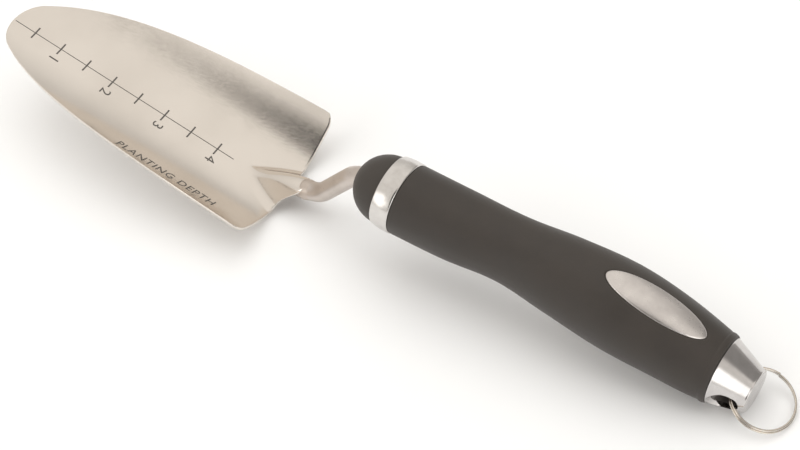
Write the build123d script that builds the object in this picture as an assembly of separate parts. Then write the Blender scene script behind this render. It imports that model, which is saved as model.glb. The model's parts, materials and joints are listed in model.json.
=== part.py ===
import os
from math import atan2, cos, degrees, radians, sin

from build123d import *

os.makedirs("parts", exist_ok=True)

# Hand trowel. It is drawn in the handle's own frame: +X runs back along the handle, +Z is
# the open side of the scoop, and the origin is on the handle axis at the collar's rear face.
# The last step lays the finished trowel down on its heel and its grip.

# Blade: stainless sheet rolled to a trough, trimmed to a blunt ogive
blade_length = 132.0
blade_half_width = 31.3
scoop_radius = 38.5
sheet = 1.3
blade_pitch = 7.5
tip_x = -188.0
tip_z = -23.3
shoulder_corner = 3.5
nose_radius_plan = 13.5
nose_slope = 31.0
side_lead = 28.0
side_run_out = (60.0, 1.8)
tongue = [(1.2, 13.0), (1.5, 9.5), (3.6, 6.0)]
trim_height = 34.0
trim_floor = -10.0

# Socket: the ridge pressed up in the blade's rear centre, over the end of the shank
socket_start = 117.0
socket_end = 137.0
socket_centre_height = 9.2
socket_lip = 0.5
socket_foot = 9.5
socket_floor = -4.0
socket_overrun = 2.0

# Shank: round bar with a swan neck, and a straight tang inside the handle
bar_radius = 3.75
tang_end = 58.0
upper_bend = (-21.3, 0.2)
lower_bend = (-39.8, -27.7)
bend_radius = 13.0
bar_point_radius = 1.0
bar_mouth_radius = 2.9
weld_wire = 1.1
weld_proud = 0.4

# Handle
collar_length = 7.7
collar_front_radius = 13.6
collar_rear_radius = 14.0
collar_wall = 1.8
nose_length = 13.5
nose_radius = 13.1
nose_drop = 0.4
rubber = 3.0
grip_length = 129.0
grip_stations = [(0, 0, 13.7), (22, 1.5, 13.5), (45, 4.5, 12.7), (66, 5.4, 14.7),
                 (90, 5.0, 16.2), (109, 3.4, 15.1), (122, 1.1, 13.8), (grip_length, 0.1, 12.6)]
lip_width = 2.4
lip_radius = 12.9
pin_radius = 1.5
pin_half_length = 7.5
pin_x = 34.0
tail_spigot_radius = 9.0
collar_crown = 0.25

# Oval metal inlay let into the top of the grip
inlay_x = 101.5
inlay_length = 39.5
inlay_width = 11.8
inlay_thickness = 1.8
inlay_proud = 0.4
peg_radius = 1.6
peg_spacing = 22.0
peg_foot = 12.5
inlay_clear = 34.0

# End cap and split ring
cap_start = 129.2
cap_end = 142.3
cap_stations = [(cap_start, 0, 12.4), (136.0, -1.2, 10.5), (cap_end, -2.6, 8.0)]
cap_wall = 1.7
eye_x = 136.0
eye_z = -2.3
eye_radius = 4.2
eye_mouth = 0.8
ring_outer_radius = 12.5
ring_wire = 1.1
ring_height = 2.2
ring_reach = 9.9
table_gap = 0.05


def at_blade(along, height):
    """Point of the mid plane in the handle's frame, from its place on the blade."""
    tilt = radians(blade_pitch)
    return (tip_x + along * cos(tilt) + height * sin(tilt),
            tip_z - along * sin(tilt) + height * cos(tilt))


def place_blade(shape):
    return Location((tip_x, 0, tip_z), (0, blade_pitch, 0)) * shape


def disc(x, z, radius):
    """Round section across the handle."""
    return Plane(origin=(x, 0, z), z_dir=(1, 0, 0)) * Circle(radius)


def along_x(x0, x1, radius, z=0.0):
    """Round bar along the handle, from x0 to x1."""
    return Pos((x0 + x1) / 2, 0, z) * Rot(0, 90, 0) * Cylinder(radius, x1 - x0)


def across_y(x, z, radius, length):
    return Pos(x, 0, z) * Rot(90, 0, 0) * Cylinder(radius, length)


def blade_plan():
    """Blade seen from above: round nose, long easy sides, square shoulders, short tongue."""
    turn = radians(90 - nose_slope)
    nose = ThreePointArc(
        (0, 0),
        (nose_radius_plan * (1 - cos(turn / 2)), nose_radius_plan * sin(turn / 2)),
        (nose_radius_plan * (1 - cos(turn)), nose_radius_plan * sin(turn)))
    lead = radians(nose_slope)
    start = nose @ 1
    end = Vector(blade_length - shoulder_corner, blade_half_width)
    side = Bezier(start, start + Vector(cos(lead), sin(lead)) * side_lead,
                  end - Vector(*side_run_out), end)
    corner = ThreePointArc(
        end, end + Vector(shoulder_corner * 0.7, -shoulder_corner * 0.3),
        end + Vector(shoulder_corner, -shoulder_corner))
    rear = Polyline(corner @ 1, *[(blade_length + past, half) for past, half in tongue],
                    (socket_end, bar_radius + socket_lip), (socket_end, 0), (0, 0))
    face = make_face(Curve() + [nose, side, corner, rear])
    return face + mirror(face, about=Plane.XZ)


def socket_form(shrink):
    """Tapered ridge, an arched section that grows towards the rear of the blade."""
    sections = []
    for along, base, top_radius, centre in (
            (socket_start, 1.8, 1.2, -sheet),
            (socket_end + socket_overrun, socket_foot, bar_radius + socket_lip,
             socket_centre_height)):
        radius = max(top_radius - shrink, 0.3)
        foot = max(base - shrink, 0.5)
        height = centre if along > socket_start else centre - shrink
        arch = ThreePointArc((-radius, height), (0, height + radius), (radius, height))
        sides = Polyline((radius, height), (foot, socket_floor), (-foot, socket_floor), (-radius, height))
        plane = Plane(origin=(along, 0, 0), x_dir=(0, 1, 0), z_dir=(1, 0, 0))
        sections.append(plane * make_face(Curve() + [arch, sides]))
    return loft(sections, ruled=True)


def make_blade():
    span = 2 * blade_length
    back = Pos(0, 0, scoop_radius) * Rot(0, 90, 0) * Cylinder(scoop_radius + sheet, 2 * span)
    hollow = Pos(0, 0, scoop_radius) * Rot(0, 90, 0) * Cylinder(scoop_radius, 2 * span)
    trim = Pos(0, 0, trim_floor) * extrude(blade_plan(), trim_height)
    ridge = (socket_form(0) & back) & trim
    under = place_blade(socket_form(sheet))
    return (place_blade((back - hollow) & trim) - under) + (place_blade(ridge) - under)


def make_shank():
    mouth = at_blade(socket_end - 1.0, socket_centre_height)
    point = at_blade(socket_start + 6.0, 1.2)
    path = FilletPolyline((tang_end, 0, 0), (upper_bend[0], 0, upper_bend[1]),
                          (lower_bend[0], 0, lower_bend[1]), (mouth[0], 0, mouth[1]),
                          radius=bend_radius)
    bar = sweep(Plane(origin=path @ 0, z_dir=path % 0) * Circle(bar_radius), path=path)
    run = Vector(point[0] - mouth[0], 0, point[1] - mouth[1])
    taper = Plane(origin=(mouth[0], 0, mouth[1]), z_dir=run) * Cone(
        bar_mouth_radius, bar_point_radius, run.length, align=(Align.CENTER, Align.CENTER, Align.MIN))
    return bar + taper


def make_weld(bar, blade):
    """Bead round the bar where it enters the socket's mouth."""
    mouth = at_blade(socket_end + 0.2, socket_centre_height)
    lean = atan2(lower_bend[1] - mouth[1], lower_bend[0] - mouth[0])
    plane = Plane(origin=(mouth[0], 0, mouth[1]), z_dir=(cos(lean), 0, sin(lean)))
    bead = plane * Torus(bar_radius + weld_proud - weld_wire / 2, weld_wire)
    return bead - bar - blade


def grip_form(inset):
    """The grip's outer shape, made smaller all round by inset."""
    return loft([disc(x, z, radius - inset) for x, z, radius in grip_stations])


def cap_form(inset):
    return loft([disc(x - (inset if x == cap_end else 0), z, radius - inset)
                 for x, z, radius in cap_stations])


def dome(length, radius):
    """Half ellipsoid that bulges forward from the collar's front face."""
    base = -collar_length
    outline = EllipticalCenterArc((base, 0), length, radius, start_angle=90, arc_size=90)
    close = Polyline((base - length, 0), (base, 0), (base, radius))
    profile = Plane.XZ * make_face(Curve() + [outline, close])
    return Pos(0, 0, -nose_drop) * revolve(profile, Axis.X)


def make_collar():
    inner = collar_front_radius - collar_wall
    crown = (-collar_length / 2, (collar_front_radius + collar_rear_radius) / 2 + collar_crown)
    outline = [ThreePointArc((-collar_length, collar_front_radius), crown,
                             (0, collar_rear_radius)),
               Polyline((0, collar_rear_radius), (0, inner), (-collar_length, inner),
                        (-collar_length, collar_front_radius))]
    return revolve(Plane.XZ * make_face(Curve() + outline), Axis.X)


def inlay_prism():
    """Upright oval column over the inlay's place."""
    return Pos(inlay_x, 0, 0) * extrude(Ellipse(inlay_length / 2, inlay_width / 2), inlay_clear)


def pegs():
    """Two locating pegs under the inlay, long enough to reach into the core."""
    return [Pos(inlay_x + side * peg_spacing / 2, 0, peg_foot) * Cylinder(
        peg_radius, 20, align=(Align.CENTER, Align.CENTER, Align.MIN)) for side in (-1, 1)]


def make_eye():
    """Cross hole with a bell mouth on each side."""
    hole = across_y(eye_x, eye_z, eye_radius, 40)
    half = cap_stations[1][2]
    for side in (-1, 1):
        flare = Pos(eye_x, side * (half - eye_mouth + 2), eye_z) * Rot(-90 * side, 0, 0) * Cone(
            eye_radius, eye_radius + 4, 4)
        hole += flare
    return hole


def ring_lowest(droop):
    """Lowest point of the ring below the eye when it hangs at this angle under level."""
    far = ring_reach + ring_outer_radius - ring_wire / 2
    return far * sin(droop) + ring_height / 2 * cos(droop) + ring_wire / 2 * sin(droop)


def lowest(shape, turn):
    return (Rot(0, degrees(turn), 0) * shape).bounding_box().min.Z


def rest_pitch(heel, grip):
    """Turn that brings the blade's heel and the grip's lip to one level, by halving."""
    low, high = 0.0, radians(20)
    for _ in range(24):
        middle = (low + high) / 2
        if lowest(heel, middle) > lowest(grip, middle):
            high = middle
        else:
            low = middle
    return low


def ring_droop(eye_height):
    """Angle under level at which the ring touches the table, by halving."""
    low, high = 0.0, radians(80)
    for _ in range(40):
        middle = (low + high) / 2
        if ring_lowest(middle) < eye_height - table_gap:
            low = middle
        else:
            high = middle
    return low


def make_ring(droop_in_handle):
    """Two-turn split ring as one closed band, hung in the eye."""
    middle = ring_outer_radius - ring_wire / 2
    band = Plane.XZ * Pos(middle, 0) * RectangleRounded(ring_wire, ring_height, 0.5)
    ring = revolve(band, Axis.Z)
    return Location((eye_x, 0, eye_z), (0, degrees(droop_in_handle), 0)) * Pos(ring_reach, 0, 0) * ring


# Pieces in the handle's frame
blade = make_blade()
bar = make_shank()
shank = max((bar - blade).solids(), key=lambda piece: piece.volume)
shank_weld = make_weld(bar, blade)
tang_pin = across_y(pin_x, 0, pin_radius, 2 * pin_half_length)
shank = shank - tang_pin

eye = make_eye()
core_form = grip_form(rubber)
front_spigot = along_x(-collar_length, 0, collar_front_radius - collar_wall)
tail_spigot = along_x(grip_length - 1, cap_start + 1, tail_spigot_radius)
handle_core = (core_form + front_spigot + dome(nose_length - rubber, nose_radius - rubber)
               + tail_spigot + cap_form(cap_wall)) - bar - tang_pin - eye

nose_cap = dome(nose_length, nose_radius) - dome(nose_length - rubber, nose_radius - rubber) - bar
front_collar = make_collar()

oval = inlay_prism()
bed = grip_form(inlay_thickness - inlay_proud)
thumb_inlay = ((grip_form(-inlay_proud) - bed) & oval)
for peg in pegs():
    stem = peg & bed
    thumb_inlay += stem
    handle_core -= stem
lip = along_x(grip_length - lip_width, grip_length, lip_radius)
grip_sleeve = (grip_form(0) + lip) - core_form - tail_spigot - thumb_inlay \
    - ((grip_form(-inlay_proud) - bed) & oval)

end_cap = cap_form(0) - cap_form(cap_wall) - eye

# Resting attitude: heel and grip lip on the table, ring let down to touch it
pitch = rest_pitch(blade, grip_sleeve)
turned = Rot(0, degrees(pitch), 0)
table = min(lowest(piece, pitch) for piece in (blade, grip_sleeve, end_cap))
eye_height = -eye_x * sin(pitch) + eye_z * cos(pitch) - table
droop = ring_droop(eye_height)
split_ring = make_ring(droop - pitch)

nodes = {
    "blade": blade, "shank": shank, "shank_weld": shank_weld, "tang_pin": tang_pin,
    "handle_core": handle_core, "nose_cap": nose_cap, "front_collar": front_collar,
    "grip_sleeve": grip_sleeve, "thumb_inlay": thumb_inlay, "end_cap": end_cap,
    "split_ring": split_ring,
}
laid = {name: turned * shape for name, shape in nodes.items()}
boxes = [shape.bounding_box() for shape in laid.values()]
middle_x = (min(b.min.X for b in boxes) + max(b.max.X for b in boxes)) / 2
floor_z = min(b.min.Z for b in boxes)
for name, shape in laid.items():
    export_step(Pos(-middle_x, 0, -floor_z) * shape, f"parts/{name}.step")

print("rest pitch", degrees(pitch), "ring droop under level", degrees(droop))
print("handle frame origin at", -middle_x, 0, -floor_z)
print("eye at", eye_x * cos(pitch) + eye_z * sin(pitch) - middle_x,
      -eye_x * sin(pitch) + eye_z * cos(pitch) - floor_z)
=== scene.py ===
import json
import math

import bmesh
import bpy
import numpy as np
from mathutils import Matrix, Vector


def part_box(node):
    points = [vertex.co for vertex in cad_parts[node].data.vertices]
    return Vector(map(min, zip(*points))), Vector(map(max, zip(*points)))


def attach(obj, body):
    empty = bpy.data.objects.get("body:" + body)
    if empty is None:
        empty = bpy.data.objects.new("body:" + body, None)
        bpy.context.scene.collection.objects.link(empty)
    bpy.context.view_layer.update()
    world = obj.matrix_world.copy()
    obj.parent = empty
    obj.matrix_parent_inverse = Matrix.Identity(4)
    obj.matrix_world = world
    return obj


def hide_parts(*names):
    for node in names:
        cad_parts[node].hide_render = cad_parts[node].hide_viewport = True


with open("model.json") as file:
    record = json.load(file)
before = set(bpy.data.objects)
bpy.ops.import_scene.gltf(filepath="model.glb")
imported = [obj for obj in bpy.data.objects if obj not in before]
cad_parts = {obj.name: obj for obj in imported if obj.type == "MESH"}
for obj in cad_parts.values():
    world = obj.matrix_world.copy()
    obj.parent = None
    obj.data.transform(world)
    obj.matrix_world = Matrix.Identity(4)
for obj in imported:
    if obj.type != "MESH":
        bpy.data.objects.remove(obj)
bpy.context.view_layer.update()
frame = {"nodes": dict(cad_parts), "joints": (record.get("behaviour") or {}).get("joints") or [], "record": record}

# ---------------------------------------------------------------------------------------
# Camera and studio
# The trowel lies on a plain pale table. The camera looks down on it from the front right
# with a long lens and leans a little, under wide soft lamps and a pale surrounding.
look_at = Vector((0.01126, -0.00051, 0.015))
camera_distance = 0.8081
camera_azimuth = math.radians(44.63)
camera_elevation = math.radians(50.454)
camera_lean = math.radians(-13.37)
lens_mm = 99.0

away = Vector((math.cos(camera_elevation) * math.sin(camera_azimuth),
               -math.cos(camera_elevation) * math.cos(camera_azimuth),
               math.sin(camera_elevation)))
camera_data = bpy.data.cameras.new("studio_camera")
camera_data.lens = lens_mm
camera_data.sensor_width = 36.0
camera_data.clip_start = 0.01
camera = bpy.data.objects.new("studio_camera", camera_data)
camera.location = look_at + away * camera_distance
camera.rotation_mode = "QUATERNION"
facing = (-away).to_track_quat("-Z", "Y")
camera.rotation_quaternion = facing @ Matrix.Rotation(camera_lean, 3, "Z").to_quaternion()
bpy.context.scene.collection.objects.link(camera)
bpy.context.scene.camera = camera
bpy.context.scene.view_settings.view_transform = "Standard"


def new_material(name, colour, metallic, roughness):
    """A material with a Principled shader, and the pieces needed to build on it."""
    material = bpy.data.materials.new(name)
    material.use_nodes = True
    shader = material.node_tree.nodes["Principled BSDF"]
    shader.inputs["Base Color"].default_value = (*colour, 1.0)
    shader.inputs["Metallic"].default_value = metallic
    shader.inputs["Roughness"].default_value = roughness
    return material, material.node_tree, shader


def add(tree, kind, inputs=None, **settings):
    """A node with its settings, its fixed inputs and its links in one call."""
    node = tree.nodes.new(kind)
    for key, value in settings.items():
        setattr(node, key, value)
    for key, value in (inputs or {}).items():
        if isinstance(value, bpy.types.NodeSocket):
            tree.links.new(value, node.inputs[key])
        else:
            node.inputs[key].default_value = value
    return node


def noise(tree, vector, scale, detail=4.0, roughness=0.5):
    """Fractal noise, about 0.3 to 0.7."""
    return add(tree, "ShaderNodeTexNoise", {"Vector": vector, "Scale": scale, "Detail": detail,
                                            "Roughness": roughness}).outputs["Fac"]


def spread(tree, value, low, high, to_low, to_high):
    """Maps low..high of a pattern onto to_low..to_high."""
    return add(tree, "ShaderNodeMapRange", {"Value": value, "From Min": low, "From Max": high,
                                            "To Min": to_low, "To Max": to_high}).outputs[0]


def tinted(tree, shader, factor, first, second):
    """The shader's colour: a mix of two close tones by a pattern."""
    tone = add(tree, "ShaderNodeMix", {"Factor": factor, "A": (*first, 1), "B": (*second, 1)},
               data_type="RGBA")
    tree.links.new(tone.outputs["Result"], shader.inputs["Base Color"])


table_half = 3.0
table_mesh = bpy.data.meshes.new("table")
table_mesh.from_pydata([(-table_half, -table_half, 0), (table_half, -table_half, 0),
                        (table_half, table_half, 0), (-table_half, table_half, 0)],
                       [], [(0, 1, 2, 3)])
table = bpy.data.objects.new("table", table_mesh)
bpy.context.scene.collection.objects.link(table)
material, tree, shader = new_material("pale_table", (0.92, 0.92, 0.92), 0.0, 0.65)
where = add(tree, "ShaderNodeTexCoord").outputs["Object"]
tinted(tree, shader, noise(tree, where, 14.0), (0.91, 0.91, 0.91), (0.93, 0.93, 0.93))
table_mesh.materials.append(material)

world = bpy.data.worlds.new("studio")
bpy.context.scene.world = world
world.use_nodes = True
sky = world.node_tree
for node in list(sky.nodes):
    sky.nodes.remove(node)
toward = add(sky, "ShaderNodeTexCoord").outputs["Generated"]


def softbox(under, way, squash, reach_out, reach_in, colour):
    """A soft-edged patch of the surrounding, laid over what is already there."""
    aside = add(sky, "ShaderNodeVectorMath", {0: toward, 1: way}, operation="SUBTRACT")
    shaped = add(sky, "ShaderNodeVectorMath", {0: aside.outputs[0], 1: squash},
                 operation="MULTIPLY")
    far = add(sky, "ShaderNodeVectorMath", {0: shaped.outputs[0]}, operation="LENGTH")
    share = add(sky, "ShaderNodeMapRange", {"Value": far.outputs["Value"], "From Min": reach_out,
                                            "From Max": reach_in},
                interpolation_type="SMOOTHSTEP").outputs[0]
    return add(sky, "ShaderNodeMix", {"Factor": share, "A": under, "B": (*colour, 1)},
               data_type="RGBA").outputs["Result"]


height = add(sky, "ShaderNodeSeparateXYZ", {0: toward}).outputs[2]
walls = add(sky, "ShaderNodeMapRange", {"Value": height, "From Min": 0.15, "From Max": 0.75,
                                        "To Min": 0.0, "To Max": 1.0}).outputs[0]
surround = add(sky, "ShaderNodeMix", {"Factor": walls, "A": (0.72, 0.69, 0.65, 1),
                                      "B": (0.955, 0.915, 0.86, 1)},
               data_type="RGBA").outputs["Result"]
# What the metal mirrors, on top of the pale walls: two grey patches at the far side, a black
# one in front for the dark stripe along the blade, and two bright ones for the collar and cap.
for way, squash, reach_out, reach_in, colour in (
        ((0.25, 0.95, 0.10), (1, 1, 1), 0.60, 0.35, (0.42, 0.40, 0.38)),
        ((0.66, 0.58, 0.46), (1, 1, 1), 0.56, 0.34, (0.33, 0.315, 0.30)),
        ((0.235, -0.80, 0.62), (1, 0.52, 0.52), 0.37, 0.31, (0.0, 0.0, 0.0)),
        ((0.72, -0.60, 0.34), (1, 1, 0.75), 0.40, 0.24, (2.0, 1.97, 1.92)),
        ((-0.44, -0.80, 0.35), (1, 0.8, 0.6), 0.26, 0.14, (2.0, 1.95, 1.88))):
    surround = softbox(surround, way, squash, reach_out, reach_in, colour)
background = add(sky, "ShaderNodeBackground", {"Color": surround, "Strength": 1.0})
add(sky, "ShaderNodeOutputWorld", {"Surface": background.outputs[0]})

for name, place, size, power in (
        ("lamp_over", (-0.10, 0.25, 1.20), 1.2, 5.2),
        ("lamp_left", (-1.10, -0.45, 0.90), 0.9, 2.6),
        ("lamp_right", (0.95, 0.35, 0.85), 0.9, 2.6)):
    lamp_data = bpy.data.lights.new(name, "AREA")
    lamp_data.shape = "SQUARE"
    lamp_data.size = size
    lamp_data.energy = power
    lamp_data.color = (0.96, 0.985, 1.0)
    lamp = bpy.data.objects.new(name, lamp_data)
    lamp.visible_glossy = False
    lamp.location = place
    lamp.rotation_mode = "QUATERNION"
    lamp.rotation_quaternion = (Vector((0, 0, 0.02)) - Vector(place)).to_track_quat("-Z", "Y")
    bpy.context.scene.collection.objects.link(lamp)

# ---------------------------------------------------------------------------------------
# Blade
# One stamping of 1.3 mm stainless sheet: rolled to a trough, trimmed to a blunt ogive, and
# pressed up at the rear into a ridge that takes the end of the shank. The faces are satin
# polished along their length and the rim is ground.
collar_middle = -0.00385
eye_on_handle = (0.136, -0.0023)
collar_low, collar_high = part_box("front_collar")
collar_at = (collar_low + collar_high) / 2
eye_at = Vector(frame["joints"][0]["pos_m"])
lie = (math.atan2(eye_on_handle[1], eye_on_handle[0] - collar_middle)
       - math.atan2(eye_at.z - collar_at.z, eye_at.x - collar_at.x))
handle_frame = (Matrix.Translation(collar_at) @ Matrix.Rotation(lie, 4, "Y")
                @ Matrix.Translation((-collar_middle, 0, 0)))

blade_pitch = math.radians(7.5)
tip_on_handle = (-0.188, 0, -0.0233)
blade_frame = (handle_frame @ Matrix.Translation(tip_on_handle)
               @ Matrix.Rotation(blade_pitch, 4, "Y"))
blade_length = 0.132
blade_half_width = 0.0313
scoop_radius = 0.0385
sheet = 0.0013
rim_round = 0.0003
nose_radius = 0.0135
nose_slope = math.radians(31)
side_lead = 0.028
side_run_out = Vector((0.060, 0.0018))
corner_radius = 0.0035
shoulder_bow = 0.0012
neck_reach = 0.0084
neck_half_width = 0.0053
neck_ease = 0.0009
socket_start = 0.1175
socket_end = 0.137
socket_crest = 0.0141
socket_ease = 0.0050
socket_round = 0.0043
flank = math.radians(57)
press_blend = 0.0060


def blade_outline():
    """(along, half width): round nose, long easy side, and straight to the rear."""
    turn = math.pi / 2 - nose_slope
    nose = [(nose_radius * (1 - math.cos(turn * k / 28)), nose_radius * math.sin(turn * k / 28))
            for k in range(29)]
    start = Vector(nose[-1])
    end = Vector((blade_length - corner_radius, blade_half_width))
    pull_1 = start + Vector((math.cos(nose_slope), math.sin(nose_slope))) * side_lead
    pull_2 = end - side_run_out
    side = []
    for k in range(1, 261):
        t = 1 - (1 - k / 260) ** 1.25
        point = (start * (1 - t) ** 3 + pull_1 * 3 * t * (1 - t) ** 2
                 + pull_2 * 3 * t * t * (1 - t) + end * t ** 3)
        side.append(tuple(point))
    shoulder = [(end.x + corner_radius * k / 6, end.y) for k in range(1, 7)]
    return nose + side + shoulder


def rear_edge(across):
    """How far back the sheet reaches: rounded corners, square shoulders, a neck at the middle."""
    a = np.abs(across)
    into = np.clip(a - (blade_half_width - corner_radius), 0, corner_radius)
    corner = corner_radius - np.sqrt(corner_radius ** 2 - into ** 2)
    bow = shoulder_bow * (1 - a / (blade_half_width - corner_radius))
    neck = neck_reach / (1 + np.exp((a - neck_half_width) / neck_ease))
    return blade_length - corner + bow + neck


def blade_height(along, across):
    """Height of the scoop's inner face: the rolled trough, and the pressed ridge over it."""
    trough = scoop_radius - np.sqrt(scoop_radius ** 2 - across ** 2)
    rise = (along - socket_start) / (socket_end - socket_start)
    grown = np.clip(rise, 0.02, 1.1)
    crest = socket_crest * rise + socket_ease * np.minimum(rise, 1.0) * (1 - rise)
    round_r = socket_round * (0.45 + 0.55 * grown)
    a = np.abs(across)
    meet = round_r * math.sin(flank)
    on_top = crest - round_r + np.sqrt(np.maximum(round_r ** 2 - np.minimum(a, meet) ** 2, 0))
    ridge = on_top - np.maximum(a - meet, 0) * math.tan(flank)
    near = np.maximum(press_blend - np.abs(trough - ridge), 0) / press_blend  # soft joint
    return np.maximum(trough, ridge) + near ** 2 * press_blend / 4


def grid_faces(rows, columns, offset=0, flip=False, wrap=False):
    """Quads of a grid of points; wrap joins the last column to the first."""
    faces = []
    last = columns if wrap else columns - 1
    for i in range(rows - 1):
        for j in range(last):
            k = (j + 1) % columns
            face = (offset + i * columns + j, offset + (i + 1) * columns + j,
                    offset + (i + 1) * columns + k, offset + i * columns + k)
            faces.append(face[::-1] if flip else face)
    return faces


def finished(name, mesh, material, place=Matrix.Identity(4)):
    """Puts a mesh in the row's frame as a smooth object at the origin."""
    mesh.transform(place)
    work = bmesh.new()
    work.from_mesh(mesh)
    bmesh.ops.remove_doubles(work, verts=work.verts, dist=1e-7)
    bmesh.ops.dissolve_degenerate(work, edges=work.edges, dist=1e-8)
    bmesh.ops.recalc_face_normals(work, faces=work.faces)
    work.to_mesh(mesh)
    work.free()
    mesh.shade_smooth()
    mesh.materials.clear()
    mesh.materials.append(material)
    piece = bpy.data.objects.new(name, mesh)
    bpy.context.scene.collection.objects.link(piece)
    return piece


def crease(piece, degrees):
    """Keeps corners sharper than this crisp in the smooth shading."""
    piece.data.set_sharp_from_angle(angle=math.radians(degrees))


def make_blade_mesh():
    """Inner face, outer face and a rounded rim between them, in the blade's own frame."""
    outline = np.array(blade_outline())
    shoulder = 1 - corner_radius / blade_half_width
    corner = shoulder + (1 - shoulder) * np.sin(np.linspace(0, math.pi / 2, 14))
    half = np.concatenate([np.linspace(0, 0.46, 36), np.linspace(0.46, shoulder, 14)[1:],
                           corner[1:]])
    share = np.concatenate([-half[:0:-1], half])
    across = share[None, :] * outline[:, 1:2] * (1 - rim_round / blade_half_width)
    along = np.repeat(outline[:, 0:1], len(share), axis=1)
    along = along + rim_round * (1 - along / blade_length)
    along = along + (rear_edge(across) - blade_length) * (along / blade_length) ** 6
    height = blade_height(along, across)
    top = np.stack([along, across, height], axis=2)
    step = 2e-5
    run_along = blade_height(along + step, across) - blade_height(along - step, across)
    run_across = blade_height(along, across + step) - blade_height(along, across - step)
    normal = np.stack([-run_along, -run_across, 2 * step * np.ones_like(height)], axis=2)
    normal /= np.linalg.norm(normal, axis=2, keepdims=True)
    # The outer face lies square under the sheet's middle and straight below its sides, so that
    # the trimmed rim is upright.
    upright = np.clip((np.abs(share) - 0.55) / 0.4, 0, 1)[None, :, None]
    under = top - sheet * (normal * (1 - upright)
                           + np.array([0, 0, 1.0]) * upright / normal[:, :, 2:3])
    rows, columns = height.shape
    count = rows * columns
    loop = [i * columns for i in range(rows)]
    loop += [(rows - 1) * columns + j for j in range(1, columns)]
    loop += [i * columns + columns - 1 for i in range(rows - 2, -1, -1)]
    edge_top, edge_under = top.reshape(-1, 3)[loop], under.reshape(-1, 3)[loop]
    outward = np.cross(np.gradient(edge_top, axis=0), normal.reshape(-1, 3)[loop])
    outward *= rim_round / np.linalg.norm(outward, axis=1, keepdims=True)
    rims = [edge_top * (1 - down) + edge_under * down + outward * push
            for down, push in ((0.12, 0.7), (0.35, 1.0), (0.65, 1.0), (0.88, 0.7))]
    points = np.concatenate([top.reshape(-1, 3), under.reshape(-1, 3)] + rims)
    faces = grid_faces(rows, columns) + grid_faces(rows, columns, count, flip=True)
    size = len(loop)
    strips = [loop] + [[2 * count + k * size + m for m in range(size)] for k in range(len(rims))]
    strips.append([count + m for m in loop])
    for upper, lower in zip(strips, strips[1:]):
        faces += [(upper[m], lower[m], lower[m + 1], upper[m + 1]) for m in range(size - 1)]
    mesh = bpy.data.meshes.new("blade_sheet")
    mesh.from_pydata(points.tolist(), [], faces)
    return mesh


def bumped(tree, shader, height, strength, distance):
    """Fine relief from a pattern."""
    relief = add(tree, "ShaderNodeBump", {"Height": height, "Strength": strength,
                                          "Distance": distance})
    tree.links.new(relief.outputs[0], shader.inputs["Normal"])


stainless, tree, shader = new_material("satin_stainless", (0.76, 0.71, 0.655), 1.0, 0.17)
where = add(tree, "ShaderNodeTexCoord").outputs["Object"]
polishing_way = add(tree, "ShaderNodeMapping", {"Vector": where, "Scale": (22, 1500, 1500),
                                                "Rotation": (0, -(lie + blade_pitch), 0)})
fine = noise(tree, polishing_way.outputs[0], 1.0, 6.0, 0.6)
cloudy = noise(tree, where, 38.0, 3.0)
handled = noise(tree, where, 160.0, 5.0, 0.65)
rough = add(tree, "ShaderNodeMath", {0: spread(tree, fine, 0.3, 0.7, 0.12, 0.19),
                                     1: spread(tree, handled, 0.35, 0.75, -0.01, 0.04)},
            operation="ADD")
tree.links.new(rough.outputs[0], shader.inputs["Roughness"])
tinted(tree, shader, spread(tree, cloudy, 0.35, 0.65, 0, 1),
       (0.735, 0.685, 0.63), (0.785, 0.735, 0.68))
bumped(tree, shader, fine, 0.05, 0.0004)

blade = finished("blade_scoop", make_blade_mesh(), stainless, blade_frame)
crease(blade, 50)
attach(blade, "trowel")
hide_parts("blade")

# ---------------------------------------------------------------------------------------
# Depth scale
# Etched into the inner face: a thin line down the middle, a cross mark at every half inch
# up to four inches, and the numbers of the whole inches, read with the tip downwards.
inch = 0.0254
mark_spacing = inch / 2
mark_count = 8
mark_length = 0.0058
mark_width = 0.00065
line_width = 0.0003
line_start = 0.0011
line_length = 0.1065
scale_start = -0.0017
etch_lift = 0.00002
etch_thickness = 0.00004

etched, tree, shader = new_material("etched_grey", (0.10, 0.09, 0.085), 0.3, 0.6)
where = add(tree, "ShaderNodeTexCoord").outputs["Object"]
pits = noise(tree, where, 5200.0, 3.0)
tinted(tree, shader, spread(tree, pits, 0.3, 0.7, 0, 1),
       (0.075, 0.068, 0.062), (0.16, 0.148, 0.135))
tree.links.new(spread(tree, pits, 0.3, 0.7, 0.45, 0.7), shader.inputs["Roughness"])


def rule_tree(name, inputs):
    """An empty Geometry Nodes tree with named size inputs."""
    nodes = bpy.data.node_groups.new(name, "GeometryNodeTree")
    nodes.interface.new_socket("Geometry", in_out="INPUT", socket_type="NodeSocketGeometry")
    names = {}
    for label, value in inputs.items():
        kind = "NodeSocketInt" if isinstance(value, int) else "NodeSocketFloat"
        socket = nodes.interface.new_socket(label, in_out="INPUT", socket_type=kind)
        socket.default_value = value
        names[label] = socket.identifier
    nodes.interface.new_socket("Geometry", in_out="OUTPUT", socket_type="NodeSocketGeometry")
    start = nodes.nodes.new("NodeGroupInput")
    return nodes, start, names


def end_tree(nodes, geometry, material):
    """Realize Instances, then Set Material, into the tree's output."""
    real = add(nodes, "GeometryNodeRealizeInstances", {"Geometry": geometry})
    painted = add(nodes, "GeometryNodeSetMaterial", {"Geometry": real.outputs[0],
                                                     "Material": material})
    last = nodes.nodes.new("NodeGroupOutput")
    nodes.links.new(painted.outputs[0], last.inputs[0])


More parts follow.
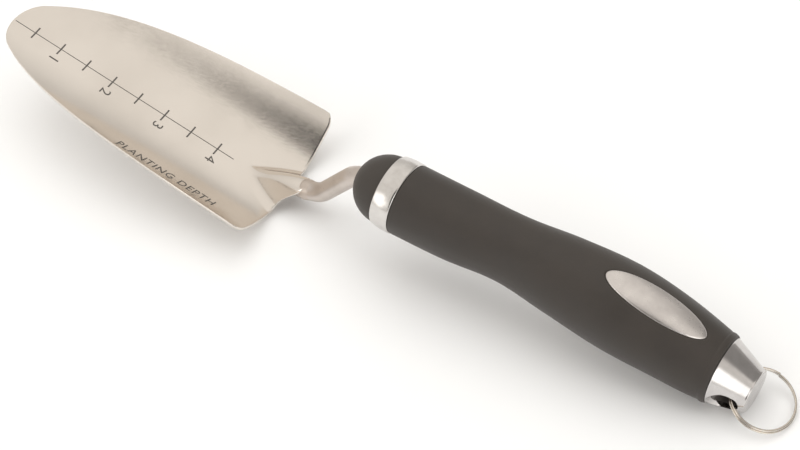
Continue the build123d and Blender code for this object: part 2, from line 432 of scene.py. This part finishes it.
def baked(name, nodes, names, inputs, base=None):
    """Runs a tree on a carrier object and returns the plain mesh that it makes."""
    carrier = base or bpy.data.objects.new(name, bpy.data.meshes.new(name))
    bpy.context.scene.collection.objects.link(carrier)
    rule = carrier.modifiers.new("rule", "NODES")
    rule.node_group = nodes
    for label, value in inputs.items():
        rule[names[label]] = value
    seen = carrier.evaluated_get(bpy.context.evaluated_depsgraph_get())
    mesh = bpy.data.meshes.new_from_object(seen)
    carrier.modifiers.remove(rule)
    bpy.data.objects.remove(carrier)
    return mesh


def maths(nodes, operation, first, second=0.0):
    """One sum on two values or sockets."""
    return add(nodes, "ShaderNodeMath", {0: first, 1: second}, operation=operation).outputs[0]


scale_sizes = {"Spacing": mark_spacing, "Marks": mark_count, "Mark length": mark_length,
               "Mark width": mark_width, "Line width": line_width, "Line start": line_start,
               "Line length": line_length, "Scale start": scale_start,
               "Thickness": etch_thickness, "Scoop radius": scoop_radius, "Lift": etch_lift}
nodes, start, names = rule_tree("depth_scale_rule", scale_sizes)
mark_size = add(nodes, "ShaderNodeCombineXYZ", {0: start.outputs["Mark width"],
                                                1: start.outputs["Mark length"],
                                                2: start.outputs["Thickness"]})
mark = add(nodes, "GeometryNodeMeshCube", {"Size": mark_size.outputs[0], "Vertices X": 2,
                                           "Vertices Y": 9, "Vertices Z": 2})
step = add(nodes, "ShaderNodeCombineXYZ", {0: start.outputs["Spacing"]})
first_mark = add(nodes, "ShaderNodeCombineXYZ", {
    0: maths(nodes, "ADD", start.outputs["Spacing"], start.outputs["Scale start"])})
row = add(nodes, "GeometryNodeMeshLine", {"Count": start.outputs["Marks"],
                                          "Start Location": first_mark.outputs[0],
                                          "Offset": step.outputs[0]})
marks = add(nodes, "GeometryNodeInstanceOnPoints", {"Points": row.outputs[0],
                                                    "Instance": mark.outputs[0]})
line_size = add(nodes, "ShaderNodeCombineXYZ", {0: start.outputs["Line length"],
                                                1: start.outputs["Line width"],
                                                2: start.outputs["Thickness"]})
line = add(nodes, "GeometryNodeMeshCube", {"Size": line_size.outputs[0], "Vertices X": 60,
                                           "Vertices Y": 2, "Vertices Z": 2})
line_middle = add(nodes, "ShaderNodeCombineXYZ", {
    0: maths(nodes, "ADD", maths(nodes, "MULTIPLY", start.outputs["Line length"], 0.5),
             start.outputs["Line start"])})
line_put = add(nodes, "GeometryNodeTransform", {"Geometry": line.outputs[0],
                                                "Translation": line_middle.outputs[0]})
both = nodes.nodes.new("GeometryNodeJoinGeometry")
for part in (marks, line_put):
    nodes.links.new(part.outputs[0], both.inputs[0])
flat = add(nodes, "GeometryNodeRealizeInstances", {"Geometry": both.outputs[0]})
place = add(nodes, "GeometryNodeInputPosition").outputs[0]
here = add(nodes, "ShaderNodeSeparateXYZ", {0: place})
radius = start.outputs["Scoop radius"]
inside = maths(nodes, "SUBTRACT", maths(nodes, "MULTIPLY", radius, radius),
               maths(nodes, "MULTIPLY", here.outputs[1], here.outputs[1]))
curl = maths(nodes, "SUBTRACT", radius, maths(nodes, "SQRT", inside))
raised = add(nodes, "ShaderNodeCombineXYZ", {
    2: maths(nodes, "ADD", curl, start.outputs["Lift"])})
wrapped = add(nodes, "GeometryNodeSetPosition", {"Geometry": flat.outputs[0],
                                                 "Offset": raised.outputs[0]})
end_tree(nodes, wrapped.outputs[0], etched)
scale = finished("depth_scale", baked("depth_scale", nodes, names, scale_sizes), etched,
                 blade_frame)
crease(scale, 30)
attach(scale, "trowel")


def lettered(name, words, size, along, across, quarter_turn):
    """Etched words laid on the scoop's inner face, middle of the words at (along, across)."""
    text = bpy.data.curves.new(name, "FONT")
    text.body = words
    text.size = size
    text.extrude = etch_thickness / 2
    text.align_x = "CENTER"
    text.align_y = "CENTER"
    text.resolution_u = 4
    text.space_character = 1.12
    holder = bpy.data.objects.new(name, text)
    bpy.context.scene.collection.objects.link(holder)
    seen = holder.evaluated_get(bpy.context.evaluated_depsgraph_get())
    mesh = bpy.data.meshes.new_from_object(seen)
    bpy.data.objects.remove(holder)
    for vertex in mesh.vertices:
        x, y, z = vertex.co
        u, v = (along + y, across - x) if quarter_turn else (along + x, across + y)
        curl = scoop_radius - math.sqrt(scoop_radius ** 2 - v * v)
        outward = Vector((0, -v / scoop_radius, math.sqrt(1 - (v / scoop_radius) ** 2)))
        vertex.co = Vector((u, v, curl)) + outward * (etch_lift + z)
    piece = finished(name, mesh, etched, blade_frame)
    crease(piece, 30)
    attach(piece, "trowel")


number_size = 0.0063
number_start = scale_start + 0.0004
number_offset = -0.0055
words_size = 0.0051
words_at = (0.0938, -0.0252)
for number in range(1, 5):
    lettered(f"scale_number_{number}", str(number), number_size, number_start + number * inch,
             number_offset, True)
lettered("scale_words", "PLANTING DEPTH", words_size, *words_at, False)

# ---------------------------------------------------------------------------------------
# Shank
# A 7.5 mm round bar of stainless steel. Its straight tang sits in the handle, it drops in a
# swan neck to the blade's level, and its drawn-down end lies under the blade's ridge.
bar_radius = 0.00375
tang_end = (0.058, 0.0)
upper_bend = (-0.0213, 0.0002)
lower_bend = (-0.0398, -0.0277)
bend_radius = 0.013
mouth = blade_frame @ Vector((socket_end - 0.001, 0, 0.0092))
bar_point = blade_frame @ Vector((socket_start + 0.006, 0, 0.0010))
drawn_past_mouth = 1.15

shank_steel, tree, shader = new_material("tumbled_stainless", (0.60, 0.53, 0.475), 1.0, 0.40)
where = add(tree, "ShaderNodeTexCoord").outputs["Object"]
speckle = noise(tree, where, 900.0, 5.0, 0.6)
patch = noise(tree, where, 90.0, 3.0)
tree.links.new(spread(tree, speckle, 0.3, 0.7, 0.27, 0.40), shader.inputs["Roughness"])
tinted(tree, shader, spread(tree, patch, 0.3, 0.7, 0, 1), (0.55, 0.49, 0.445),
       (0.66, 0.60, 0.555))
bumped(tree, shader, patch, 0.12, 0.0006)

route = [handle_frame @ Vector((x, 0, z)) for x, z in (tang_end, upper_bend, lower_bend)]
route += [mouth, bar_point]
route_data = bpy.data.curves.new("shank", "CURVE")
route_data.dimensions = "3D"
spline = route_data.splines.new("POLY")
spline.points.add(len(route) - 1)
for point, place in zip(spline.points, route):
    point.co = (*place, 1.0)
run = sum((b - a).length for a, b in zip(route, route[1:]))
drawn = (bar_point - mouth).length / run
bar_sizes = {"Bar radius": bar_radius, "Bend radius": bend_radius, "Step": 0.0007,
             "Drawn share": drawn * drawn_past_mouth}
nodes, start, names = rule_tree("swan_neck_rule", bar_sizes)
bent = add(nodes, "GeometryNodeFilletCurve", {"Curve": start.outputs["Geometry"],
                                              "Radius": start.outputs["Bend radius"],
                                              "Count": 24}, mode="POLY")
even = add(nodes, "GeometryNodeResampleCurve", {"Curve": bent.outputs[0],
                                                "Length": start.outputs["Step"]}, mode="LENGTH")
along = add(nodes, "GeometryNodeSplineParameter").outputs["Factor"]
left = maths(nodes, "DIVIDE", maths(nodes, "SUBTRACT", 1.0, along), start.outputs["Drawn share"])
drawn_down = add(nodes, "ShaderNodeMapRange", {"Value": left, "From Min": 0.0, "From Max": 1.0,
                                               "To Min": 0.25, "To Max": 1.0}).outputs[0]
section = add(nodes, "GeometryNodeCurvePrimitiveCircle", {"Resolution": 40,
                                                          "Radius": start.outputs["Bar radius"]})
solid = add(nodes, "GeometryNodeCurveToMesh", {"Curve": even.outputs[0],
                                               "Profile Curve": section.outputs[0],
                                               "Scale": drawn_down, "Fill Caps": True})
end_tree(nodes, solid.outputs[0], shank_steel)
shank = finished("swan_neck_shank", baked("shank", nodes, names, bar_sizes,
                                          bpy.data.objects.new("shank_route", route_data)),
                 shank_steel)
crease(shank, 40)
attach(shank, "trowel")
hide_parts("shank")

# ---------------------------------------------------------------------------------------
# Weld
# The bead that joins the bar to the ridge's mouth, ground and polished to a short smooth
# cone, so that the ridge runs into the bar without a step.
weld_start = 0.0060
weld_run = 0.0040
weld_foot = 0.00371
weld_proud = 0.00036


def lathe(name, profile, material, place, segments=128):
    """A closed turned piece: the profile's (along, radius) points go round the local X axis."""
    points = []
    for x, r in profile:
        for k in range(segments):
            angle = 2 * math.pi * k / segments
            points.append((x, r * math.cos(angle), r * math.sin(angle)))
    faces = grid_faces(len(profile), segments, wrap=True)
    count = len(profile)
    if profile[0] != profile[-1]:
        faces.append(tuple(range(segments)))
        faces.append(tuple((count - 1) * segments + k for k in range(segments))[::-1])
    mesh = bpy.data.meshes.new(name)
    mesh.from_pydata(points, [], faces)
    layer = mesh.uv_layers.new(name="turning")
    for loop in mesh.loops:
        i, k = divmod(loop.vertex_index, segments)
        layer.data[loop.index].uv = (profile[i][0], k / segments)
    return finished(name, mesh, material, place)


def arc(centre, size, start_degrees, end_degrees, steps):
    """Points of an elliptical round in a profile."""
    return [(centre[0] + size[0] * math.cos(math.radians(a)),
             centre[1] + size[1] * math.sin(math.radians(a)))
            for a in np.linspace(start_degrees, end_degrees, steps)]


bar_way = (route[2] - mouth).normalized()
weld_frame = Matrix.Translation(mouth) @ bar_way.to_track_quat("X", "Z").to_matrix().to_4x4()
weld_profile = [(0.0040, 0.0029), (0.0048, 0.0037), (0.0054, 0.0040)]
weld_profile += [(weld_start + weld_run * k / 14,
                  weld_foot + weld_proud * (0.5 + 0.5 * math.cos(math.pi * k / 14)))
                 for k in range(15)]
weld_steel, tree, shader = new_material("ground_weld", (0.60, 0.53, 0.475), 1.0, 0.42)
where = add(tree, "ShaderNodeTexCoord").outputs["Object"]
ripple = noise(tree, where, 700.0, 4.0, 0.6)
tree.links.new(spread(tree, ripple, 0.3, 0.7, 0.34, 0.50), shader.inputs["Roughness"])
tinted(tree, shader, spread(tree, ripple, 0.3, 0.7, 0, 1), (0.56, 0.49, 0.435),
       (0.65, 0.58, 0.525))
bumped(tree, shader, ripple, 0.15, 0.0003)
weld = lathe("neck_weld", weld_profile, weld_steel, weld_frame, 72)
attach(weld, "trowel")
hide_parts("shank_weld")

# ---------------------------------------------------------------------------------------
# Nose cap
# A soft dark dome moulded over the front of the handle's core. The bar comes out through it,
# and its rear edge is tucked under the collar.
nose_length = 0.0135
nose_cap_radius = 0.0130
nose_drop = 0.0004
nose_tuck = 0.0012
nose_bore = 0.0098
collar_length = 0.0077


def soft_rubber(name, dark, light, scale):
    """Matte moulded elastomer: fine grain, faint mottling, a soft sheen."""
    material, tree, shader = new_material(name, dark, 0.0, 0.58)
    where = add(tree, "ShaderNodeTexCoord").outputs["Object"]
    skin = noise(tree, where, scale, 6.0, 0.62)
    mottle = noise(tree, where, 70.0, 4.0, 0.6)
    dust = noise(tree, where, 420.0, 4.0, 0.7)
    tree.links.new(spread(tree, mottle, 0.3, 0.7, 0.50, 0.66), shader.inputs["Roughness"])
    tone = add(tree, "ShaderNodeMix", {"Factor": spread(tree, mottle, 0.3, 0.7, 0, 1),
                                       "A": (*dark, 1), "B": (*light, 1)}, data_type="RGBA")
    dusty = add(tree, "ShaderNodeMix", {"Factor": spread(tree, dust, 0.62, 0.85, 0, 0.25),
                                        "A": tone.outputs["Result"],
                                        "B": (light[0] * 2, light[1] * 2, light[2] * 2, 1)},
                data_type="RGBA")
    tree.links.new(dusty.outputs["Result"], shader.inputs["Base Color"])
    bumped(tree, shader, skin, 0.22, 0.0002)
    shader.inputs["Sheen Weight"].default_value = 0.06
    shader.inputs["Sheen Roughness"].default_value = 0.5
    return material


nose_rubber = soft_rubber("nose_rubber", (0.033, 0.027, 0.022), (0.044, 0.036, 0.030), 2600.0)
nose_profile = [(nose_tuck - collar_length, nose_bore),
                (nose_tuck - collar_length, nose_cap_radius - 0.0002)]
nose_profile += arc((-collar_length, 0), (nose_length, nose_cap_radius), 90, 177, 44)
nose_cap = lathe("nose_cap_dome", nose_profile, nose_rubber,
                 handle_frame @ Matrix.Translation((0, 0, -nose_drop)))
crease(nose_cap, 50)
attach(nose_cap, "trowel")
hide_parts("nose_cap")

# ---------------------------------------------------------------------------------------
# Front collar
# A turned and polished metal band, a little wider at the rear, with rounded edges and a
# slight crown. It covers the joint between the nose cap and the grip.
collar_front = 0.0136
collar_rear = 0.0140
collar_wall = 0.0018
collar_edge = 0.00045
collar_crown = 0.00022


def turned_metal(name, dark, light, low, high):
    """Polished turned metal: very fine rings round the piece, and a few soft clouds."""
    material, tree, shader = new_material(name, light, 1.0, 0.2)
    place = add(tree, "ShaderNodeTexCoord")
    stretched = add(tree, "ShaderNodeMapping", {"Vector": place.outputs["UV"],
                                                "Scale": (5200, 3.0, 1)}).outputs[0]
    rings = noise(tree, stretched, 1.0, 4.0, 0.6)
    clouds = noise(tree, place.outputs["Object"], 150.0, 4.0, 0.6)
    rough = add(tree, "ShaderNodeMath", {0: spread(tree, rings, 0.3, 0.7, low, high),
                                         1: spread(tree, clouds, 0.4, 0.8, 0.0, 0.07)},
                operation="ADD")
    tree.links.new(rough.outputs[0], shader.inputs["Roughness"])
    tinted(tree, shader, spread(tree, clouds, 0.3, 0.7, 0, 1), light, dark)
    bumped(tree, shader, rings, 0.05, 0.0002)
    return material


collar_metal = turned_metal("polished_collar", (0.60, 0.575, 0.555), (0.72, 0.70, 0.68),
                            0.12, 0.20)
collar_profile = arc((-collar_length + collar_edge, collar_front - collar_edge),
                     (collar_edge, collar_edge), 180, 95, 6)
for k in range(1, 12):
    share = k / 12
    straight = collar_front + (collar_rear - collar_front) * share
    collar_profile.append((collar_edge - collar_length + (collar_length - 2 * collar_edge) * share,
                           straight + collar_crown * math.sin(math.pi * share)))
collar_profile += arc((-collar_edge, collar_rear - collar_edge), (collar_edge, collar_edge),
                      85, 0, 6)
inner = collar_front - collar_wall
collar_profile += [(0.0, inner), (-collar_length, inner), collar_profile[0]]
front_collar = lathe("front_band", collar_profile, collar_metal, handle_frame, 160)
crease(front_collar, 50)
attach(front_collar, "trowel")
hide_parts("front_collar")

# ---------------------------------------------------------------------------------------
# Core and tang pin
# The hard plastic core fills the grip and the end cap, and the steel pin through it holds the
# tang. Both are hidden, but the core shows inside the cap's cross hole. Their CAD shapes stay.
core_plastic, tree, shader = new_material("core_plastic", (0.022, 0.020, 0.018), 0.0, 0.5)
where = add(tree, "ShaderNodeTexCoord").outputs["Object"]
flow = noise(tree, where, 600.0, 5.0, 0.6)
tree.links.new(spread(tree, flow, 0.3, 0.7, 0.42, 0.6), shader.inputs["Roughness"])
tinted(tree, shader, flow, (0.075, 0.068, 0.062), (0.105, 0.095, 0.088))
pin_steel, tree, shader = new_material("drawn_pin", (0.55, 0.54, 0.53), 1.0, 0.35)
where = add(tree, "ShaderNodeTexCoord").outputs["Object"]
drawn_lines = noise(tree, where, 1500.0, 3.0)
tree.links.new(spread(tree, drawn_lines, 0.3, 0.7, 0.28, 0.45), shader.inputs["Roughness"])
for node_name, material in (("handle_core", core_plastic), ("tang_pin", pin_steel)):
    piece = frame["nodes"][node_name]
    piece.data.materials.clear()
    piece.data.materials.append(material)

# ---------------------------------------------------------------------------------------
# Grip sleeve
# Soft dark rubber moulded over the core: round sections that narrow to a waist, swell under
# the palm and close down to the cap, with an arched back, a small bead at the rear edge and
# an oval pocket on top for the inlay.
grip_length = 0.129
grip_stations = np.array([(0, 0, 13.7), (22, 1.5, 13.5), (45, 4.5, 12.7), (66, 5.4, 14.7),
                          (90, 5.0, 16.2), (109, 3.4, 15.1), (122, 1.2, 13.7),
                          (129, 0.1, 12.6)]) / 1000
rubber_wall = 0.0030
bead_width = 0.0024
bead_rise = 0.00035
inlay_middle = 0.1015
inlay_length = 0.0395
inlay_width = 0.0118
pocket_depth = 0.0009
pocket_margin = 0.045
pocket_ease = 0.0917
front_edge = 0.0006
front_edge_round = 0.0004
fine_side = 33


def through(stations, column, x):
    """Smooth curve through the stations, by cubic pieces with matched slopes."""
    xs, ys = stations[:, 0], stations[:, column]
    slopes = np.gradient(ys, xs)
    x = np.clip(x, xs[0], xs[-1])
    i = np.clip(np.searchsorted(xs, x, side="right") - 1, 0, len(xs) - 2)
    span = xs[i + 1] - xs[i]
    t = (x - xs[i]) / span
    return (ys[i] * (2 * t ** 3 - 3 * t ** 2 + 1) + slopes[i] * span * (t ** 3 - 2 * t ** 2 + t)
            + ys[i + 1] * (3 * t ** 2 - 2 * t ** 3) + slopes[i + 1] * span * (t ** 3 - t ** 2))


def oval_reach(x, across):
    """0 at the oval's middle, 1 on its outline."""
    return np.sqrt(((x - inlay_middle) / (inlay_length / 2)) ** 2
                   + (across / (inlay_width / 2)) ** 2)


def make_grip_mesh():
    """Outer and inner skins, with finer columns on top, where the pocket is."""
    inlay_start = inlay_middle - inlay_length / 2 - 0.002
    inlay_stop = inlay_middle + inlay_length / 2 + 0.0015
    rows = np.concatenate([np.array([0, 0.00015, 0.0004]), np.linspace(0.001, inlay_start, 70),
                           np.linspace(inlay_start, inlay_stop, 130)[1:],
                           np.linspace(inlay_stop, grip_length, 26)[1:]])
    top = np.linspace(-fine_side, fine_side, 110, endpoint=False)
    rest = np.linspace(fine_side, 360 - fine_side, 90, endpoint=False)
    turn = np.radians(np.concatenate([top, rest]))
    x = np.repeat(rows[:, None], len(turn), axis=1)
    centre = through(grip_stations, 1, rows)[:, None]
    radius = through(grip_stations, 2, rows)[:, None] * np.ones_like(x)
    edge = np.minimum(x, front_edge) / front_edge
    radius = radius - front_edge_round * (1 - np.sqrt(1 - (1 - edge) ** 2))
    from_end = grip_length - x
    bead = np.clip(1 - ((from_end - bead_width / 2) / (bead_width / 2)) ** 2, 0, 1)
    radius = radius + bead_rise * np.sqrt(bead)
    across = radius * np.sin(turn)[None, :]
    up = np.cos(turn)[None, :] > 0
    reach = oval_reach(x, across)
    depth = np.clip((1 + pocket_margin - reach) / pocket_ease, 0, 1)
    depth = depth * depth * (3 - 2 * depth)
    radius = radius - np.where(up, pocket_depth * depth, 0)
    outer = np.stack([x, radius * np.sin(turn)[None, :],
                      centre + radius * np.cos(turn)[None, :]], axis=2)
    inner_rows = np.linspace(grip_length, 0, 24)
    inner_r = through(grip_stations, 2, inner_rows)[:, None] - rubber_wall
    inner_x = np.repeat(inner_rows[:, None], len(turn), axis=1)
    inner_c = through(grip_stations, 1, inner_rows)[:, None]
    inner = np.stack([inner_x, inner_r * np.sin(turn)[None, :],
                      inner_c + inner_r * np.cos(turn)[None, :]], axis=2)
    points = np.concatenate([outer.reshape(-1, 3), inner.reshape(-1, 3),
                             outer[0]]).tolist()
    count = len(rows) + len(inner_rows) + 1
    faces = grid_faces(count, len(turn), wrap=True)
    mesh = bpy.data.meshes.new("grip")
    mesh.from_pydata(points, [], faces)
    return mesh


grip_rubber = soft_rubber("grip_rubber", (0.030, 0.024, 0.0195), (0.042, 0.034, 0.028), 3000.0)
grip = finished("grip_overmould", make_grip_mesh(), grip_rubber, handle_frame)
crease(grip, 55)
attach(grip, "trowel")
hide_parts("grip_sleeve")

# ---------------------------------------------------------------------------------------
# Thumb inlay
# An oval of satin aluminium, cold pressed to the curve of the grip, crowned a little and
# with a rolled edge. It sits in the pocket on top of the grip.
inlay_proud = 0.00022
inlay_deep = 0.0007
inlay_crown = 0.00025
inlay_roll = 0.0004
roll_from = 0.93


def make_inlay_mesh():
    """Rings of the oval from its middle to its rolled edge, then its side and its back."""
    rings, spokes = 30, 144
    turn = np.linspace(0, 2 * math.pi, spokes, endpoint=False)
    reach = np.concatenate([np.sin(np.linspace(0, math.pi / 2, rings)), [1.0, 0.97, 0.0]])
    drop = np.concatenate([np.zeros(rings), [inlay_deep + inlay_proud] * 3])
    points = []
    for k, (share, down) in enumerate(zip(reach, drop)):
        x = inlay_middle + share * inlay_length / 2 * np.cos(turn)
        y = share * inlay_width / 2 * np.sin(turn)
        radius = through(grip_stations, 2, x) + inlay_proud
        past = max(0.0, (share - roll_from) / (1 - roll_from)) if k < rings else 0.0
        roll = inlay_roll * (1 - math.sqrt(max(0.0, 1 - past ** 2)))
        z = through(grip_stations, 1, x) + np.sqrt(radius ** 2 - y ** 2) - roll - down
        z = z + inlay_crown * (1 - share ** 2)
        points += np.stack([x, y, z], axis=1).tolist()
    mesh = bpy.data.meshes.new("inlay")
    mesh.from_pydata(points, [], grid_faces(len(reach), spokes, wrap=True))
    return mesh


inlay_metal, tree, shader = new_material("satin_aluminium", (0.70, 0.67, 0.65), 1.0, 0.3)
where = add(tree, "ShaderNodeTexCoord").outputs["Object"]
brushed = add(tree, "ShaderNodeMapping", {"Vector": where, "Rotation": (0, -lie, 0),
                                          "Scale": (60, 2600, 2600)}).outputs[0]
hair = noise(tree, brushed, 1.0, 5.0, 0.6)
smear = noise(tree, where, 210.0, 4.0, 0.6)
rough = add(tree, "ShaderNodeMath", {0: spread(tree, hair, 0.3, 0.7, 0.24, 0.36),
                                     1: spread(tree, smear, 0.4, 0.8, 0, 0.10)}, operation="ADD")
tree.links.new(rough.outputs[0], shader.inputs["Roughness"])
tinted(tree, shader, spread(tree, smear, 0.3, 0.7, 0, 1), (0.73, 0.695, 0.67),
       (0.64, 0.605, 0.585))
bumped(tree, shader, hair, 0.06, 0.0003)
inlay = finished("oval_inlay", make_inlay_mesh(), inlay_metal, handle_frame)
crease(inlay, 60)
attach(inlay, "trowel")
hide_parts("thumb_inlay")

# ---------------------------------------------------------------------------------------
# End cap
# A polished tapered shell pressed over the core's tail, nearly straight below and cut away
# above. A cross hole with rounded mouths goes through it and the core for the ring.
cap_stations = np.array([(129.2, 0, 12.4), (142.3, -2.6, 8.0)]) / 1000
cap_wall = 0.0017
cap_round = 0.0007
cap_front_edge = 0.0002
cap_half_width = 0.0103
eye_radius = 0.0042
eye_mouth = 0.0012
drill_end = 0.016


def cap_rows(inset, end):
    """Rings of the cap's outer or inner face: (along, centre height, radius)."""
    rows = []
    for x in np.linspace(cap_stations[0, 0], end, 40):
        drop, radius = [np.interp(x, cap_stations[:, 0], cap_stations[:, c]) for c in (1, 2)]
        rows.append((x, drop, radius - inset))
    return rows


def make_cap_mesh():
    """The cap's outer face, its rounded and flat rear end, and its inner face."""
    segments = 192
    last = cap_stations[-1, 0]
    outer = cap_rows(0, last - cap_round)
    x0, z0, r0 = outer[-1]
    front, drop, radius = outer[0]
    outer = [(front, drop, radius - cap_front_edge),
             (front + cap_front_edge / 2, drop, radius)] + outer[1:]
    for a in np.linspace(15, 90, 8):
        outer.append((x0 + cap_round * math.sin(math.radians(a)), z0,
                      r0 - cap_round * (1 - math.cos(math.radians(a)))))
    face = [(last, z0, r0 * s) for s in (0.85, 0.6, 0.3)]
    inner = cap_rows(cap_wall, last - cap_wall)[::-1]
    hollow = [(last - cap_wall, inner[0][1], inner[0][2] * s) for s in (0.3, 0.6)]
    rows_out = outer + face
    rows_in = hollow + inner
    points = []
    for x, z, r in rows_out + rows_in:
        for k in range(segments):
            a = 2 * math.pi * k / segments
            points.append((x, r * math.sin(a), z + r * math.cos(a)))
    faces = grid_faces(len(rows_out), segments, wrap=True)
    faces += grid_faces(len(rows_in), segments, len(rows_out) * segments, wrap=True)
    end_ring = [(len(rows_out) - 1) * segments + k for k in range(segments)]
    faces.append(tuple(end_ring[::-1]))
    faces.append(tuple(len(rows_out) * segments + k for k in range(segments)))
    back = (len(rows_out) + len(rows_in) - 1) * segments
    for k in range(segments):
        j = (k + 1) % segments
        faces.append((k, back + k, back + j, j))
    mesh = bpy.data.meshes.new("cap")
    mesh.from_pydata(points, [], faces)
    layer = mesh.uv_layers.new(name="turning")
    for loop in mesh.loops:
        i, k = divmod(loop.vertex_index, segments)
        layer.data[loop.index].uv = (points[loop.vertex_index][0], k / segments)
    return mesh


cap_metal = turned_metal("polished_cap", (0.55, 0.53, 0.52), (0.66, 0.64, 0.63), 0.10, 0.17)
end_cap = finished("tail_cap", make_cap_mesh(), cap_metal, handle_frame)
drill_profile = [(-drill_end, eye_radius + eye_mouth + 0.003)]
drill_profile += [(-cap_half_width + 0.0001, eye_radius + eye_mouth)]
drill_profile += [(-cap_half_width + eye_mouth * math.sin(math.radians(a)),
                   eye_radius + eye_mouth * (1 - math.sin(math.radians(a))))
                  for a in (12, 24, 36, 48, 60, 72, 84, 90)]
drill_profile += [(-x, r) for x, r in drill_profile[::-1]]
drill_place = (handle_frame @ Matrix.Translation((eye_on_handle[0], 0, eye_on_handle[1]))
               @ Matrix.Rotation(math.radians(90), 4, "Z"))
drill = lathe("drill", drill_profile, cap_metal, drill_place, 96)
cut = end_cap.modifiers.new("cross_hole", "BOOLEAN")
cut.operation = "DIFFERENCE"
cut.solver = "EXACT"
cut.object = drill
drilled = bpy.data.meshes.new_from_object(
    end_cap.evaluated_get(bpy.context.evaluated_depsgraph_get()))
end_cap.modifiers.remove(cut)
bpy.data.objects.remove(drill)
end_cap.data = drilled
end_cap.data.shade_smooth()
crease(end_cap, 35)
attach(end_cap, "trowel")
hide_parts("end_cap")

# ---------------------------------------------------------------------------------------
# Split ring
# Two turns of nickel plated spring wire, wound one on the other and hung in the cap's cross
# hole. The turns spread a little on one side, as a ring does that has been opened.
ring_at = Vector(frame["record"]["mounts"][0]["pos_m"])
ring_normal = Vector(frame["record"]["mounts"][0]["axis"]).normalized()
ring_radius = 0.0116
ring_turn = ring_normal.to_track_quat("Z", "Y").to_matrix().to_4x4()
ring_frame = Matrix.Translation(ring_at) @ ring_turn
wire_edge = 0.0003

ring_metal, tree, shader = new_material("nickel_wire", (0.66, 0.61, 0.55), 1.0, 0.18)
where = add(tree, "ShaderNodeTexCoord").outputs["Object"]
plating = noise(tree, where, 260.0, 4.0, 0.6)
tree.links.new(spread(tree, plating, 0.3, 0.7, 0.13, 0.22), shader.inputs["Roughness"])
tinted(tree, shader, spread(tree, plating, 0.3, 0.7, 0, 1), (0.62, 0.57, 0.51),
       (0.72, 0.675, 0.615))

ring_sizes = {"Ring radius": ring_radius, "Turns": 2.0, "Wire width": 0.00085,
              "Wire height": 0.00078, "Lift per turn": 0.00132, "Spread": 0.00025}
nodes, start, names = rule_tree("split_ring_rule", ring_sizes)
coil = add(nodes, "GeometryNodeCurveSpiral", {"Resolution": 140,
                                              "Rotations": start.outputs["Turns"],
                                              "Start Radius": start.outputs["Ring radius"],
                                              "End Radius": start.outputs["Ring radius"],
                                              "Height": 0.0})
factor = add(nodes, "GeometryNodeSplineParameter").outputs["Factor"]
turns_done = maths(nodes, "MULTIPLY", factor, start.outputs["Turns"])
lift = maths(nodes, "MULTIPLY", maths(nodes, "SUBTRACT", turns_done, 1.0),
             maths(nodes, "MULTIPLY", start.outputs["Lift per turn"], 0.5))
wave = maths(nodes, "SINE", maths(nodes, "MULTIPLY", factor, 2 * math.pi))
sway = maths(nodes, "MULTIPLY", wave, start.outputs["Spread"])
spot = add(nodes, "GeometryNodeInputPosition").outputs[0]
outward = add(nodes, "ShaderNodeVectorMath", {0: spot}, operation="NORMALIZE").outputs[0]
pushed = add(nodes, "ShaderNodeVectorMath", {0: outward, "Scale": sway}, operation="SCALE")
lifted = add(nodes, "ShaderNodeCombineXYZ", {2: lift})
shift = add(nodes, "ShaderNodeVectorMath", {0: pushed.outputs[0], 1: lifted.outputs[0]},
            operation="ADD")
placed = add(nodes, "GeometryNodeSetPosition", {"Geometry": coil.outputs[0],
                                                "Offset": shift.outputs[0]})
wire = add(nodes, "GeometryNodeCurvePrimitiveQuadrilateral", {
    "Width": start.outputs["Wire width"], "Height": start.outputs["Wire height"]})
wire_round = add(nodes, "GeometryNodeFilletCurve", {"Curve": wire.outputs[0],
                                                    "Radius": wire_edge, "Count": 4}, mode="POLY")
wound = add(nodes, "GeometryNodeCurveToMesh", {"Curve": placed.outputs[0],
                                               "Profile Curve": wire_round.outputs[0],
                                               "Fill Caps": True})
end_tree(nodes, wound.outputs[0], ring_metal)
split_ring = finished("split_ring_coil", baked("split_ring", nodes, names, ring_sizes),
                      ring_metal, ring_frame)
crease(split_ring, 40)
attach(split_ring, "ring")
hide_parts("split_ring")
